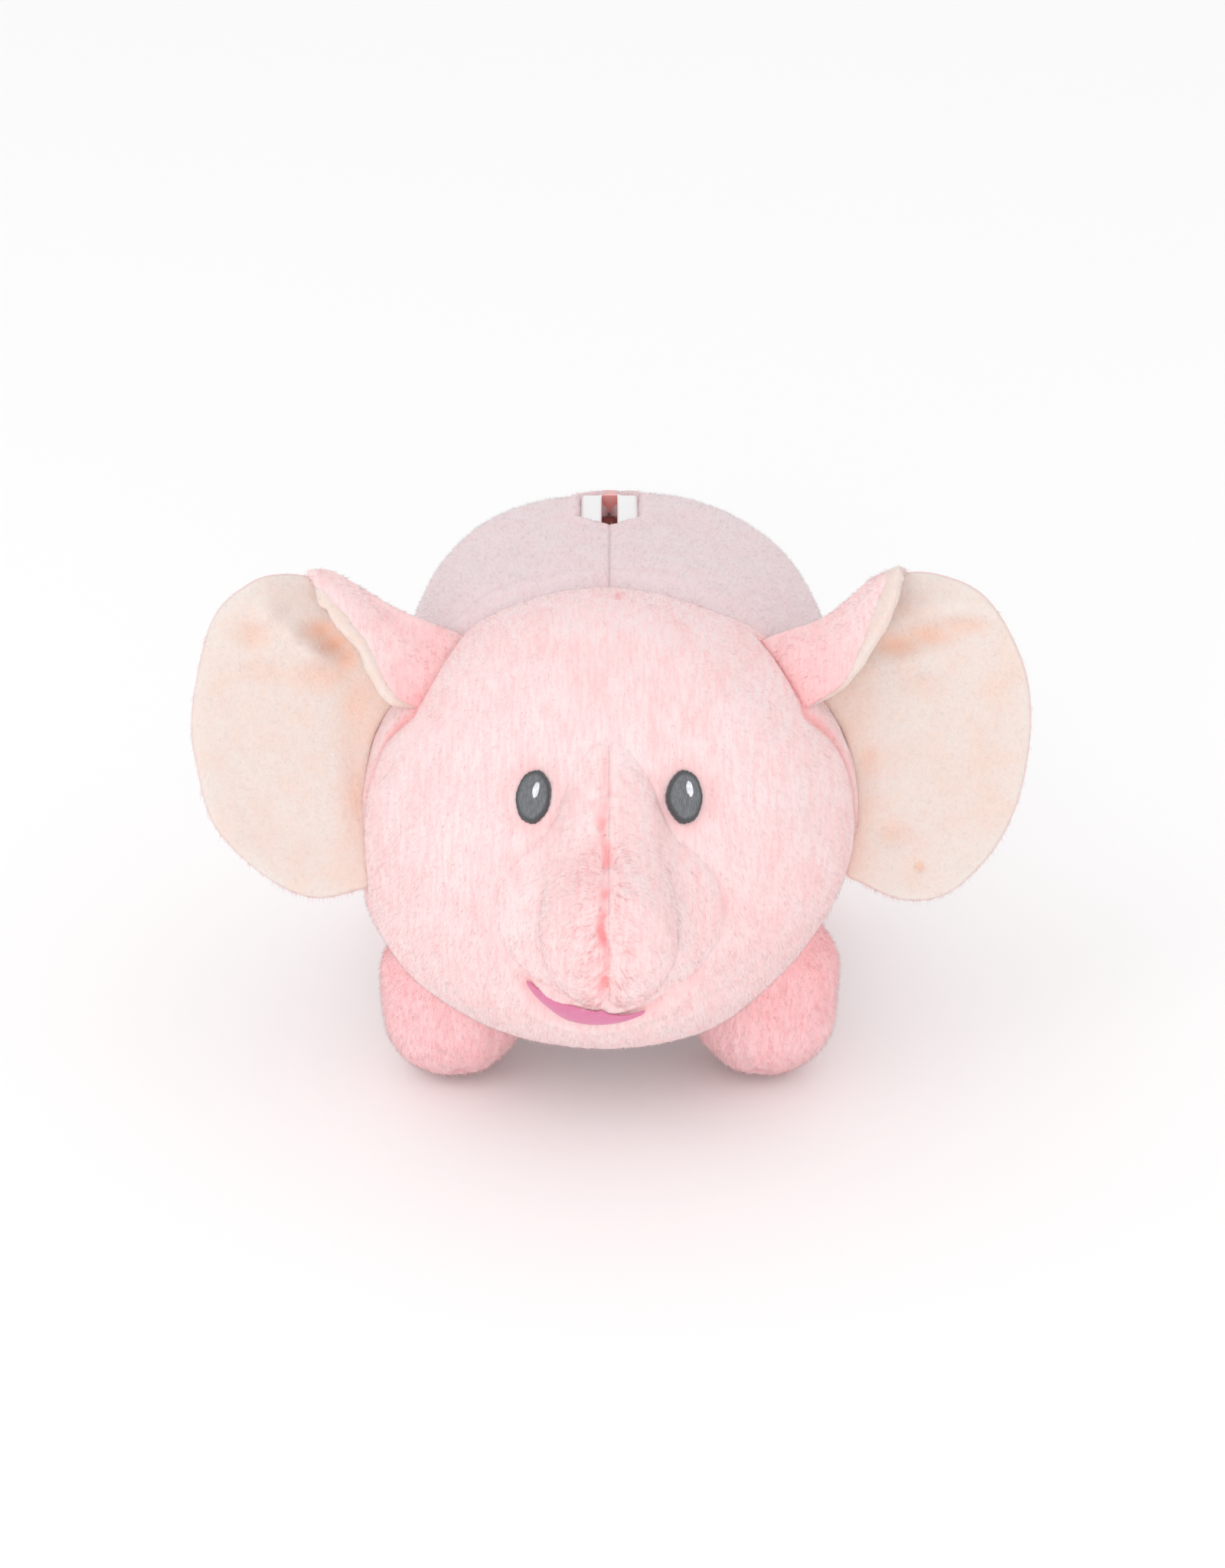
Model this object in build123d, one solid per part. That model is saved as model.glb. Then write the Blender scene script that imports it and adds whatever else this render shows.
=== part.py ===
from build123d import *
import os
from math import atan2, cos, degrees, radians, sin

# A plush elephant money bank.  It faces -Y and stands on Z = 0, and +X is its own left side.
# Driving dimensions, in millimetres.

# Fabric and filling
PLUSH = 2.5
VELOUR = 2.2
SLACK = 0.2

# Head: a ball, flattened a little from top to bottom
HEAD_CENTRE = (0, -19, 84)
HEAD_RADIUS = 72
HEAD_HALF_HEIGHT = 66
HEAD_SIDE_RADIUS = 60

# Body: a barrel along Y, cut off at the neck seam
BODY_CENTRE = (0, 53, 84)
BODY_RADIUS = 68
BODY_NECK_RADIUS = 66
BODY_FRONT_LENGTH = 110
BELLY_PANEL_WIDTH = 60

# Neck seam: a plane whose top leans back
NECK_POINT = (0, -17, 84)
NECK_LEAN = 19
SEAM_GAP = 0.1

# Trunk: an upper ridge and a lower one that meet at the tip, on a round muzzle
TRUNK_TIP = (0, -113.5, 94)
TRUNK_TIP_RADIUS = 17.5
BROW_POINT = (0, -60, 114)
BROW_RADIUS = 17
CHIN_POINT = (0, -62, 84)
CHIN_RADIUS = 20
MUZZLE_CENTRE = (0, -77, 84)
MUZZLE_RADIUS = 30
MUZZLE_DEPTH = 19
MUZZLE_SIDE_RADIUS = 14

# Mouth: a crescent of satin on the head, under the trunk
MOUTH_THICKNESS = 0.8
MOUTH_CENTRE_Z = 73
MOUTH_RADIUS = 22.5

# Eyes: thread ovals on the head
EYE_SPREAD = 20.5
EYE_HEIGHT = 118
EYE_HALF_WIDTH = 5.2
EYE_HALF_HEIGHT = 7.8
EYE_THICKNESS = 0.9
GLINT_HALF_WIDTH = 1.1
GLINT_HALF_HEIGHT = 2.2
GLINT_THICKNESS = 1.3
GLINT_OFFSET = (1.3, 2.4)

# Ears: two layers of cloth cupped forward, in a plane parallel to the neck seam
EAR_FORWARD = 8
EAR_ACROSS = 84
EAR_UP = 24
EAR_HALF_WIDTH = 37.5
EAR_HALF_HEIGHT = 47
EAR_CUP_RADIUS = 120
EAR_ROOT_CLEARANCE = 1
EAR_HINGE_ACROSS = 72
EAR_HINGE_UP = 15
EAR_HINGE_SPLAY = 17.5
EAR_FORWARD_STEPS = (0, 18, 36)

# Legs: stubby stuffed feet
LEG_SPREAD = 46
LEG_FRONT_Y = -17
LEG_REAR_Y = 86
LEG_RADIUS = 22.5
LEG_HEIGHT = 54
SOLE_EDGE_RADIUS = 12

# Tail: a cord with a tuft, hung from the rump
TAIL_Y = 125.2
TAIL_TOP_Z = 94
TAIL_LENGTH = 40
TAIL_RADIUS = 3.5
TAIL_ROOT_RADIUS = 3.8
TUFT_RADIUS = 5.8
TUFT_END_RADIUS = 5
TUFT_LENGTH = 9

# Coin slot insert in the back, over the money canister
SLOT_Y = 50
SLIT_WIDTH = 4.6
SLIT_LENGTH = 36
RIM_WIDTH = 19
RIM_LENGTH = 46
RIM_THICKNESS = 2
RIM_DEPTH_BELOW_BACK = 1.5
RIM_FIT_GAP = 0.2
LIP_HEIGHT = 1.8
LIP_LENGTH = 28
LIP_WIDTH = 6.4
LIP_EDGE = 1.2
CHUTE_WALL = 1.6
CANISTER_RADIUS = 36
CANISTER_WALL = 2
CANISTER_BOTTOM = 31
CANISTER_TOP = 112
PLUG_BORE_RADIUS = 17
PLUG_HOLLOW_RADIUS = 13
PLUG_NECK_RADIUS = 20
PLUG_NECK_BOTTOM = 17.5
PLUG_RUNNING_GAP = 0.08
PLUG_HEIGHT = 8
PLUG_FLANGE_RADIUS = 21
PLUG_FLANGE_THICKNESS = 2
DRAIN_GAP = 1

BIG = 400


def vector_sum(a, b):
    return tuple(p + q for p, q in zip(a, b))


def vector_times(a, factor):
    return tuple(p * factor for p in a)


NECK_NORMAL = (0, -cos(radians(NECK_LEAN)), sin(radians(NECK_LEAN)))
NECK_UP = (0, sin(radians(NECK_LEAN)), cos(radians(NECK_LEAN)))
BACK_Z = BODY_CENTRE[2] + BODY_RADIUS
RIM_TOP = BACK_Z - RIM_DEPTH_BELOW_BACK


def turned(edges):
    """A solid turned about Y from a closed outline at positive X."""
    return revolve(make_face(edges), Axis.Y)


def arc_point(centre, radius, angle):
    return (centre[0] + radius * cos(radians(angle)), centre[1] + radius * sin(radians(angle)))


def arc(centre, radius, start, end):
    """An arc in the outline, from one angle to another in degrees."""
    return ThreePointArc(arc_point(centre, radius, start),
                         arc_point(centre, radius, (start + end) / 2),
                         arc_point(centre, radius, end))


def bun(radius, half_height, side_radius, inset=0.0):
    """A flattened ball turned about Y: a round side between two shallow domes."""
    ring = radius - side_radius
    dome = (radius ** 2 + half_height ** 2 - 2 * radius * side_radius) / (
        2 * (half_height - side_radius))
    meet = degrees(atan2(dome - half_height, ring))
    upper = arc((0, half_height - dome), dome - inset, 90, meet)
    side = arc((ring, 0), side_radius - inset, meet, -meet)
    lower = arc((0, dome - half_height), dome - inset, -meet, -90)
    top = half_height - inset
    return turned([upper, side, lower, Line((0, -top), (0, top))])


def head_form(inset=0.0):
    form = bun(HEAD_RADIUS, HEAD_HALF_HEIGHT, HEAD_SIDE_RADIUS, inset)
    return Pos(*HEAD_CENTRE) * Rot(90, 0, 0) * form


def body_form(inset=0.0):
    radius = BODY_RADIUS - inset
    neck = BODY_NECK_RADIUS - inset
    end = -BODY_FRONT_LENGTH
    outline = [Line((0, end), (neck, end)), Line((neck, end), (radius, 0)),
               arc((0, 0), radius, 0, 90), Line((0, radius), (0, end))]
    return Pos(*BODY_CENTRE) * turned(outline)


def neck_block(side, gap=0.0):
    """A large block in front of the neck seam (side 1) or behind it (side -1)."""
    plane = Plane(origin=NECK_POINT, x_dir=(1, 0, 0), z_dir=NECK_NORMAL)
    return plane * Pos(0, 0, side * (BIG / 2 + gap)) * Box(BIG, BIG, BIG)


def tapered_arm(start, start_radius, end, end_radius):
    """A cone along a line with a ball at each end."""
    run = Vector(*end) - Vector(*start)
    plane = Plane(origin=start, z_dir=run)
    shaft = plane * Pos(0, 0, run.length / 2) * Cone(start_radius, end_radius, run.length)
    return shaft + Pos(*start) * Sphere(start_radius) + Pos(*end) * Sphere(end_radius)


def trunk_form(inset=0.0):
    tip_radius = TRUNK_TIP_RADIUS - inset
    ridge = tapered_arm(BROW_POINT, BROW_RADIUS - inset, TRUNK_TIP, tip_radius)
    keel = tapered_arm(CHIN_POINT, CHIN_RADIUS - inset, TRUNK_TIP, tip_radius)
    muzzle = bun(MUZZLE_RADIUS, MUZZLE_DEPTH, MUZZLE_SIDE_RADIUS, inset)
    return ridge + keel + Pos(*MUZZLE_CENTRE) * muzzle


def leg_form(side, y, inset=0.0):
    """A stubby leg turned about its own axis, with a flat sole and a round top."""
    radius = LEG_RADIUS - inset
    crown = LEG_HEIGHT - LEG_RADIUS
    toe = LEG_RADIUS - SOLE_EDGE_RADIUS
    edge = SOLE_EDGE_RADIUS - inset
    outline = [Line((0, inset), (toe, inset)), arc((toe, SOLE_EDGE_RADIUS), edge, -90, 0),
               Line((radius, SOLE_EDGE_RADIUS), (radius, crown)),
               arc((0, crown), radius, 0, 90), Line((0, crown + radius), (0, inset))]
    return Pos(side * LEG_SPREAD, y, 0) * Rot(90, 0, 0) * turned(outline)


def slot_outline(width, length, grow=0.0):
    return Rot(0, 0, 90) * SlotOverall(length + 2 * grow, width + 2 * grow)


def column(face, bottom, top, y=SLOT_Y):
    return Pos(0, y, bottom) * extrude(face, top - bottom)


def head_pieces():
    skin = (head_form() - head_form(PLUSH)) & neck_block(1, SEAM_GAP)
    skin = skin - trunk_form(PLUSH)
    filling = head_form(PLUSH + SLACK) & neck_block(1, SEAM_GAP)
    return {"head_skin": skin, "head_stuffing": filling}


def trunk_pieces():
    skin = trunk_form() - trunk_form(PLUSH) - head_form(-SEAM_GAP)
    skin = skin & Pos(0, -BIG / 2 + HEAD_CENTRE[1], 0) * Box(BIG, BIG, BIG)
    left = skin & Pos(BIG / 2 + SEAM_GAP / 2, 0, 0) * Box(BIG, BIG, BIG)
    right = skin & Pos(-BIG / 2 - SEAM_GAP / 2, 0, 0) * Box(BIG, BIG, BIG)
    filling = trunk_form(PLUSH + SLACK) - head_form(PLUSH + SLACK - SEAM_GAP)
    filling = filling & Pos(0, -BIG / 2 + HEAD_CENTRE[1], 0) * Box(BIG, BIG, BIG)
    return {"trunk_left_half": left, "trunk_right_half": right, "trunk_stuffing": filling}


def surface_patch(outline, thickness, start=0.0):
    """A thin layer on the front of the head, inside an outline drawn in X and Z."""
    prism = extrude(Plane.XZ * outline, BIG)
    layer = head_form(-start - thickness) - head_form(-start - SEAM_GAP)
    return layer & prism


def face_pieces():
    pieces = {}
    for side, name in ((1, "left"), (-1, "right")):
        oval = Pos(side * EYE_SPREAD, EYE_HEIGHT) * Ellipse(EYE_HALF_WIDTH, EYE_HALF_HEIGHT)
        pieces["eye_" + name] = surface_patch(oval, EYE_THICKNESS)
        spot = Pos(side * EYE_SPREAD + GLINT_OFFSET[0], EYE_HEIGHT + GLINT_OFFSET[1])
        glint = spot * Ellipse(GLINT_HALF_WIDTH, GLINT_HALF_HEIGHT)
        pieces["eye_" + name + "_glint"] = surface_patch(glint, GLINT_THICKNESS, EYE_THICKNESS)
    lining = surface_patch(Pos(0, MOUTH_CENTRE_Z) * Circle(MOUTH_RADIUS), MOUTH_THICKNESS)
    pieces["mouth_lining"] = lining - trunk_form(-SEAM_GAP)
    return pieces


def ear_plane_point(across, up):
    """A point of the plane that both ears lie in."""
    origin = vector_sum(NECK_POINT, vector_times(NECK_NORMAL, EAR_FORWARD))
    return vector_sum(vector_sum(origin, vector_times(NECK_UP, up)), (across, 0, 0))


def ear_hinge(side):
    """The sewn root line.  A positive turn about it brings the ear forward."""
    splay = radians(EAR_HINGE_SPLAY)
    downward = vector_sum((side * sin(splay), 0, 0), vector_times(NECK_UP, -cos(splay)))
    point = ear_plane_point(side * EAR_HINGE_ACROSS, EAR_HINGE_UP)
    return Axis(point, vector_times(downward, side))


def ear_layer(side, near, far):
    """A cupped sheet between two depths behind its middle surface."""
    bowl = Sphere(EAR_CUP_RADIUS + far) - Sphere(EAR_CUP_RADIUS + near)
    bowl = Pos(0, 0, EAR_CUP_RADIUS) * bowl
    outline = Pos(0, 0, -EAR_CUP_RADIUS / 2) * extrude(
        Ellipse(EAR_HALF_WIDTH, EAR_HALF_HEIGHT), EAR_CUP_RADIUS)
    centre = ear_plane_point(side * EAR_ACROSS, EAR_UP)
    sheet = Plane(origin=centre, x_dir=(1, 0, 0), z_dir=NECK_NORMAL) * (bowl & outline)
    # The root edge is trimmed to clear the head wherever the ear is turned.
    for angle in EAR_FORWARD_STEPS:
        sheet = sheet - head_form(-EAR_ROOT_CLEARANCE).rotate(ear_hinge(side), -angle)
    return sheet


def ear_pieces():
    pieces = {}
    for side, name in ((1, "left"), (-1, "right")):
        pieces["ear_" + name + "_inner"] = ear_layer(side, -VELOUR, 0)
        pieces["ear_" + name + "_outer"] = ear_layer(side, SEAM_GAP, PLUSH)
    return pieces


def body_pieces():
    shell = (body_form() - body_form(PLUSH)) & neck_block(-1, SEAM_GAP)
    opening = column(slot_outline(RIM_WIDTH, RIM_LENGTH, SEAM_GAP), BODY_CENTRE[2], BIG)
    drain = column(Circle(PLUG_FLANGE_RADIUS + DRAIN_GAP), 0, BODY_CENTRE[2])
    shell = shell - opening - drain
    low = Pos(0, 0, BODY_CENTRE[2] - BIG / 2 - BODY_RADIUS / 2)
    belly = shell & low * Box(BELLY_PANEL_WIDTH, BIG, BIG)
    sides = shell - low * Box(BELLY_PANEL_WIDTH + 2 * SEAM_GAP, BIG, BIG + SEAM_GAP)
    left = sides & Pos(BIG / 2 + SEAM_GAP / 2, 0, 0) * Box(BIG, BIG, BIG)
    right = sides & Pos(-BIG / 2 - SEAM_GAP / 2, 0, 0) * Box(BIG, BIG, BIG)
    return {"body_left_panel": left, "body_right_panel": right, "belly_panel": belly}


def body_filling():
    filling = body_form(PLUSH + SLACK) & neck_block(-1, SEAM_GAP)
    filling = filling - column(Circle(CANISTER_RADIUS + SLACK), 0, CANISTER_TOP + SLACK)
    chute = slot_outline(RIM_WIDTH, RIM_LENGTH, SLACK)
    filling = filling - column(chute, CANISTER_TOP, BIG)
    return {"body_stuffing": filling}


def leg_pieces():
    pieces = {}
    near = body_form(-SEAM_GAP) + head_form(-SEAM_GAP)
    for side, hand in ((1, "left"), (-1, "right")):
        for y, end in ((LEG_FRONT_Y, "front"), (LEG_REAR_Y, "rear")):
            name = "leg_" + end + "_" + hand
            pieces[name + "_skin"] = leg_form(side, y) - leg_form(side, y, PLUSH) - near
            pieces[name + "_stuffing"] = leg_form(side, y, PLUSH + SLACK) - near
    return pieces


def tail_pieces():
    top = (0, TAIL_Y, TAIL_TOP_Z)
    end = (0, TAIL_Y, TAIL_TOP_Z - TAIL_LENGTH)
    tuft = tapered_arm(end, TUFT_RADIUS, vector_sum(end, (0, 0, -TUFT_LENGTH)), TUFT_END_RADIUS)
    cord = tapered_arm(top, TAIL_ROOT_RADIUS, end, TAIL_RADIUS) - tuft
    return {"tail_cord": cord, "tail_tuft": tuft}


def insert_piece():
    """The white slot insert: an oval rim with two raised lips and a chute below."""
    outline = slot_outline(RIM_WIDTH, RIM_LENGTH, -RIM_FIT_GAP)
    rim = column(outline, RIM_TOP - RIM_THICKNESS, RIM_TOP)
    lips = Part()
    for side in (-1, 1):
        face = Pos(side * (SLIT_WIDTH + LIP_WIDTH) / 2, 0) * Rectangle(LIP_WIDTH, LIP_LENGTH)
        lip = column(face, RIM_TOP - RIM_THICKNESS, RIM_TOP + LIP_HEIGHT)
        lips = lips + fillet(lip.edges().group_by(Axis.Z)[-1], LIP_EDGE)
    wall = Rectangle(SLIT_WIDTH + 2 * CHUTE_WALL, SLIT_LENGTH + 2 * CHUTE_WALL)
    chute = column(wall, CANISTER_TOP + SEAM_GAP, RIM_TOP - RIM_THICKNESS)
    slit = column(Rectangle(SLIT_WIDTH, SLIT_LENGTH), 0, BIG)
    return {"coin_slot_insert": rim + lips + chute - slit}


def canister_piece():
    outer = column(Circle(CANISTER_RADIUS), CANISTER_BOTTOM, CANISTER_TOP)
    inner = column(Circle(CANISTER_RADIUS - CANISTER_WALL),
                   CANISTER_BOTTOM + CANISTER_WALL, CANISTER_TOP - CANISTER_WALL)
    neck = column(Circle(PLUG_NECK_RADIUS), PLUG_NECK_BOTTOM, CANISTER_BOTTOM + CANISTER_WALL)
    bore = column(Circle(PLUG_BORE_RADIUS), 0, BODY_CENTRE[2])
    slit = column(Rectangle(SLIT_WIDTH, SLIT_LENGTH), BODY_CENTRE[2], BIG)
    return {"coin_canister": outer + neck - inner - bore - slit}


def stopper_piece():
    """The soft plug in the belly, pushed up into the canister's neck."""
    top = PLUG_NECK_BOTTOM - PLUG_RUNNING_GAP
    flange = column(Circle(PLUG_FLANGE_RADIUS), top - PLUG_FLANGE_THICKNESS, top)
    plug = column(Circle(PLUG_BORE_RADIUS - PLUG_RUNNING_GAP), top, top + PLUG_HEIGHT)
    hollow = column(Circle(PLUG_HOLLOW_RADIUS), top, top + PLUG_HEIGHT)
    return {"stopper": flange + (plug - hollow)}


def all_pieces():
    pieces = {}
    for group in (head_pieces(), trunk_pieces(), face_pieces(), ear_pieces(), body_pieces(),
                  body_filling(), leg_pieces(), tail_pieces(), insert_piece(),
                  canister_piece(), stopper_piece()):
        pieces.update(group)
    return pieces


os.makedirs("parts", exist_ok=True)
for node, piece in all_pieces().items():
    export_step(piece, "parts/" + node + ".step")
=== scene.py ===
import math

import bmesh
import bpy
import numpy as np
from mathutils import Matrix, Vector


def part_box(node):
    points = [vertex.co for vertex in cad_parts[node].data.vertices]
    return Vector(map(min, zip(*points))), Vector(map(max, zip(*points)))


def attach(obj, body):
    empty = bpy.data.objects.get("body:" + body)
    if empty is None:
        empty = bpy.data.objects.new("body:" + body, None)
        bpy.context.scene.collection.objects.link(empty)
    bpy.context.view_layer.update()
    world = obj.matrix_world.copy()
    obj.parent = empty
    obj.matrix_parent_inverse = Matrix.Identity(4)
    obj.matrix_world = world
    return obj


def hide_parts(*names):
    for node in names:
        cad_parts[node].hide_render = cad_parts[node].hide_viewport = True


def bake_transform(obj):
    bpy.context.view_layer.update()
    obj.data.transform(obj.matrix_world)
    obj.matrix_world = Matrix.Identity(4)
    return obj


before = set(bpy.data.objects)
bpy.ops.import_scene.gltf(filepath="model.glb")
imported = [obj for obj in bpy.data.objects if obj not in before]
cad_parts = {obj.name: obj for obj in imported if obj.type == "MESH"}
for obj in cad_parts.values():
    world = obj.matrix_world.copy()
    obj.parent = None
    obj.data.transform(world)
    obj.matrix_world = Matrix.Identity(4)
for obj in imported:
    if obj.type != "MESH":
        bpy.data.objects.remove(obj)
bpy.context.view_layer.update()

# Lengths are in millimetres in the row frame: the face looks along -Y, and +X is the elephant's
# own left.  Meshes are turned into metres when they are made.
MM = 0.001
show = bpy.context.scene.collection.objects.link


def vec(*values):
    return np.array(values, float)


UP = vec(0, 0, 1)
X_AXIS = vec(1, 0, 0)


def box_mm(node):
    return [np.array(corner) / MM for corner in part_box(node)]


HEAD_HIGH = box_mm("head_skin")[1]
BODY_HIGH = box_mm("body_left_panel")[1]
SLOT_LOW, SLOT_HIGH = box_mm("coin_slot_insert")

# Head: an ellipsoid
HEAD_CENTRE = vec(0, -19, 84)
HEAD_SEMI = vec(HEAD_HIGH[0], HEAD_HIGH[0], HEAD_HIGH[2] - HEAD_CENTRE[2])

# Neck seam: the plane whose top leans back
NECK_POINT = vec(0, -17, 84)
NECK_LEAN = math.radians(19)
NECK_NORMAL = vec(0, -math.cos(NECK_LEAN), math.sin(NECK_LEAN))
NECK_UP = vec(0, math.sin(NECK_LEAN), math.cos(NECK_LEAN))

# Body: a barrel with a slightly square section
BODY_CENTRE = vec(0, 50, 84)
BODY_HALF_WIDTH = BODY_HIGH[0] - 1
BODY_HALF_HEIGHT = 69.3
BODY_SQUARENESS = 2.42
BODY_REAR_START = 50
BODY_REAR_LENGTH = BODY_HIGH[1] - BODY_REAR_START - 1
BODY_FRONT_LENGTH = 190
BODY_SWAY = 3.2

# Coin slot
SLOT_CENTRE = (SLOT_LOW + SLOT_HIGH) / 2
SLOT_HALF_WIDTH = (SLOT_HIGH[0] - SLOT_LOW[0]) / 2

# Trunk
TRUNK_TIP = vec(0, -113.5, 93.2)
TRUNK_TIP_RADIUS = 15.6
BROW = vec(0, -62, 116.5)
BROW_RADIUS = 15
CHIN = vec(0, -74, 82)
CHIN_RADIUS = 22
MUZZLE_CENTRE = vec(0, -78, 85.3)
MUZZLE_SEMI = vec(32.5, 20, 28)
MUZZLE_BLEND = 5.5

# Ears lie in a plane parallel to the neck seam
EAR_FORWARD = 8
EAR_ORIGIN = NECK_POINT + NECK_NORMAL * EAR_FORWARD
EAR_CUP_RADIUS = 120
EAR_MIDDLE = (86, 24)

LEG_RADIUS = 21.3
LEG_CROWN = 32
LEG_FRONT_Y = -17
LEG_REAR_Y = 86
LEG_SPREAD = 46

DETAIL = 1


# ---- numbers

def unit(v):
    return v / np.maximum(np.linalg.norm(v, axis=-1, keepdims=True), 1e-12)


def lattice(ix, iy, iz, seed):
    h = (ix * 73856093) ^ (iy * 19349663) ^ (iz * 83492791) ^ (seed * 2654435761)
    h = ((h ^ (h >> 13)) * 1274126177) & 0x7FFFFFFF
    h = h ^ (h >> 16)
    return (h & 0xFFFF) / 32767.5 - 1


def noise(points, seed=0):
    """Smooth value noise from -1 to 1, one number for each point."""
    cell = np.floor(points).astype(np.int64)
    f = points - cell
    f = f * f * (3 - 2 * f)
    total = np.zeros(len(points))
    for dx in (0, 1):
        for dy in (0, 1):
            for dz in (0, 1):
                weight = np.abs(1 - dx - f[:, 0]) * np.abs(1 - dy - f[:, 1])
                weight = weight * np.abs(1 - dz - f[:, 2])
                total += weight * lattice(cell[:, 0] + dx, cell[:, 1] + dy, cell[:, 2] + dz, seed)
    return total


def fractal(points, seed=0, octaves=3):
    total = np.zeros(len(points))
    for k in range(octaves):
        total += noise(points * 2 ** k, seed + k) * 0.5 ** k
    return total


def beside(*parts):
    """Arrays of the same length as the columns of one array."""
    return np.stack(parts, 1)


def clamp(x):
    return np.clip(x, 0, 1)


def ramp(a, b, x):
    t = clamp((x - a) / (b - a))
    return t * t * (3 - 2 * t)


def bell(x, width):
    return np.exp(-(x / width) ** 2)


def smooth_min(a, b, k):
    h = np.maximum(k - np.abs(a - b), 0) / k
    return np.minimum(a, b) - h * h * k / 4


def away(p, place):
    return np.linalg.norm(p - place, axis=1)


def run_distance(p, a, b):
    """How far each point is from a straight run, and its share of the way along."""
    run = b - a
    t = clamp(((p - a) @ run) / (run @ run))
    return away(p - a, t[:, None] * run), t


def line_distance(p, line):
    """Distance from each point to an open chain of straight runs."""
    return np.min([run_distance(p, a, b)[0] for a, b in zip(line[:-1], line[1:])], axis=0)


def spline(points, count, closed=False):
    """Evenly stepped Catmull-Rom curve through points."""
    p = np.array(points, float)
    n = len(p)
    if closed:
        p = np.vstack([p[-1], p, p[0], p[1]])
        spans = n
    else:
        p = np.vstack([2 * p[0] - p[1], p, 2 * p[-1] - p[-2]])
        spans = n - 1
    t = np.linspace(0, spans, count, endpoint=not closed)
    i = np.minimum(t.astype(int), spans - 1)
    f = (t - i)[:, None]
    a, b, c, d = p[i], p[i + 1], p[i + 2], p[i + 3]
    return 0.5 * (2 * b + (c - a) * f + (2 * a - 5 * b + 4 * c - d) * f ** 2
                  + (3 * b - a - 3 * c + d) * f ** 3)


# ---- forms

def ellipsoid_field(p, centre, semi):
    q = p - centre
    k0 = np.linalg.norm(q / semi, axis=1)
    k1 = np.linalg.norm(q / semi ** 2, axis=1)
    return k0 * (k0 - 1) / np.maximum(k1, 1e-9)


def cone_field(p, a, b, ra, rb):
    """A line with a radius that changes from one end to the other."""
    distance, t = run_distance(p, a, b)
    return distance - (ra + (rb - ra) * t)


def before_neck(p):
    """How far each point is in front of the neck seam's plane."""
    return (p - NECK_POINT) @ NECK_NORMAL


def head_field(p):
    return ellipsoid_field(p, HEAD_CENTRE, HEAD_SEMI)


def trunk_field(p):
    ridge = cone_field(p, BROW, TRUNK_TIP, BROW_RADIUS, TRUNK_TIP_RADIUS)
    keel = cone_field(p, CHIN, TRUNK_TIP, CHIN_RADIUS, TRUNK_TIP_RADIUS)
    muzzle = ellipsoid_field(p, MUZZLE_CENTRE, MUZZLE_SEMI)
    return smooth_min(smooth_min(ridge, keel, 9), muzzle, MUZZLE_BLEND)


def body_field(p):
    q = p - vec(0, BODY_REAR_START, BODY_CENTRE[2])
    n = BODY_SQUARENESS
    section = (np.abs(q[:, 0] / BODY_HALF_WIDTH) ** n + np.abs(q[:, 2] / BODY_HALF_HEIGHT) ** n)
    along = np.where(q[:, 1] > 0, q[:, 1] / BODY_REAR_LENGTH, q[:, 1] / BODY_FRONT_LENGTH)
    return (np.sqrt(section ** (2 / n) + along ** 2) - 1) * BODY_HALF_HEIGHT


def leg_field(p, centre):
    q = p - centre
    low, high = vec(0, 0, LEG_RADIUS), vec(0, 0, LEG_CROWN)
    tube = cone_field(q, low, high, LEG_RADIUS, LEG_RADIUS)
    sole = -q[:, 2] + 0.3
    return -smooth_min(-tube, -sole, 7)


def gradient(field, p, step=0.2):
    return np.stack([field(p + d) - field(p - d) for d in step * np.eye(3)], 1) / (2 * step)


def cast(field, centre, directions, reach):
    """The point on each ray from centre where the field turns positive."""
    low, high = np.zeros(len(directions)), np.full(len(directions), float(reach))
    for _ in range(36):
        middle = (low + high) / 2
        inside = field(centre + directions * middle[:, None]) < 0
        low, high = np.where(inside, middle, low), np.where(inside, high, middle)
    return centre + directions * low[:, None]


def settle(field, p, rounds=6):
    """Moves points near a surface onto it."""
    for _ in range(rounds):
        g = gradient(field, p)
        p = p - g * (field(p) / np.maximum((g * g).sum(1), 1e-6))[:, None]
    return p


def quad_sphere(n):
    """Unit directions and four-sided faces of a cube's grid blown up to a ball."""
    a = np.tan(np.linspace(-math.pi / 4, math.pi / 4, n + 1))
    s, t = np.meshgrid(a, a, indexing="ij")
    one = np.ones_like(s)
    sides = [(one, s, t), (-one, t, s), (t, one, s), (s, -one, t), (s, t, one), (t, s, -one)]
    points, faces = [], []
    k = np.arange(n * (n + 1)).reshape(n, n + 1)[:, :n].ravel()
    for index, side in enumerate(sides):
        points.append(unit(np.stack([c.ravel() for c in side], 1)))
        base = index * (n + 1) ** 2 + k
        faces.append(beside(base, base + n + 1, base + n + 2, base + 1))
    points, faces = np.vstack(points), np.vstack(faces)
    _, first, back = np.unique(np.round(points * 1e5).astype(np.int64), axis=0,
                               return_index=True, return_inverse=True)
    return points[first], back.ravel()[faces]


def skin_round(field, centre, reach, cells, relief_of):
    """A closed skin on a field: its plain form, its points with the relief, its tone and faces."""
    directions, faces = quad_sphere(cells)
    base = cast(field, centre, directions, reach)
    relief, tone = relief_of(base)
    return base, base + unit(gradient(field, base)) * relief[:, None], tone, faces


# ---- meshes

def set_points(mesh, points):
    mesh.vertices.foreach_set("co", (points * MM).astype(np.float32).ravel())


def set_attribute(piece, name, values):
    layer = piece.data.attributes.new(name, "FLOAT", "POINT")
    layer.data.foreach_set("value", np.asarray(values, np.float32))


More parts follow.
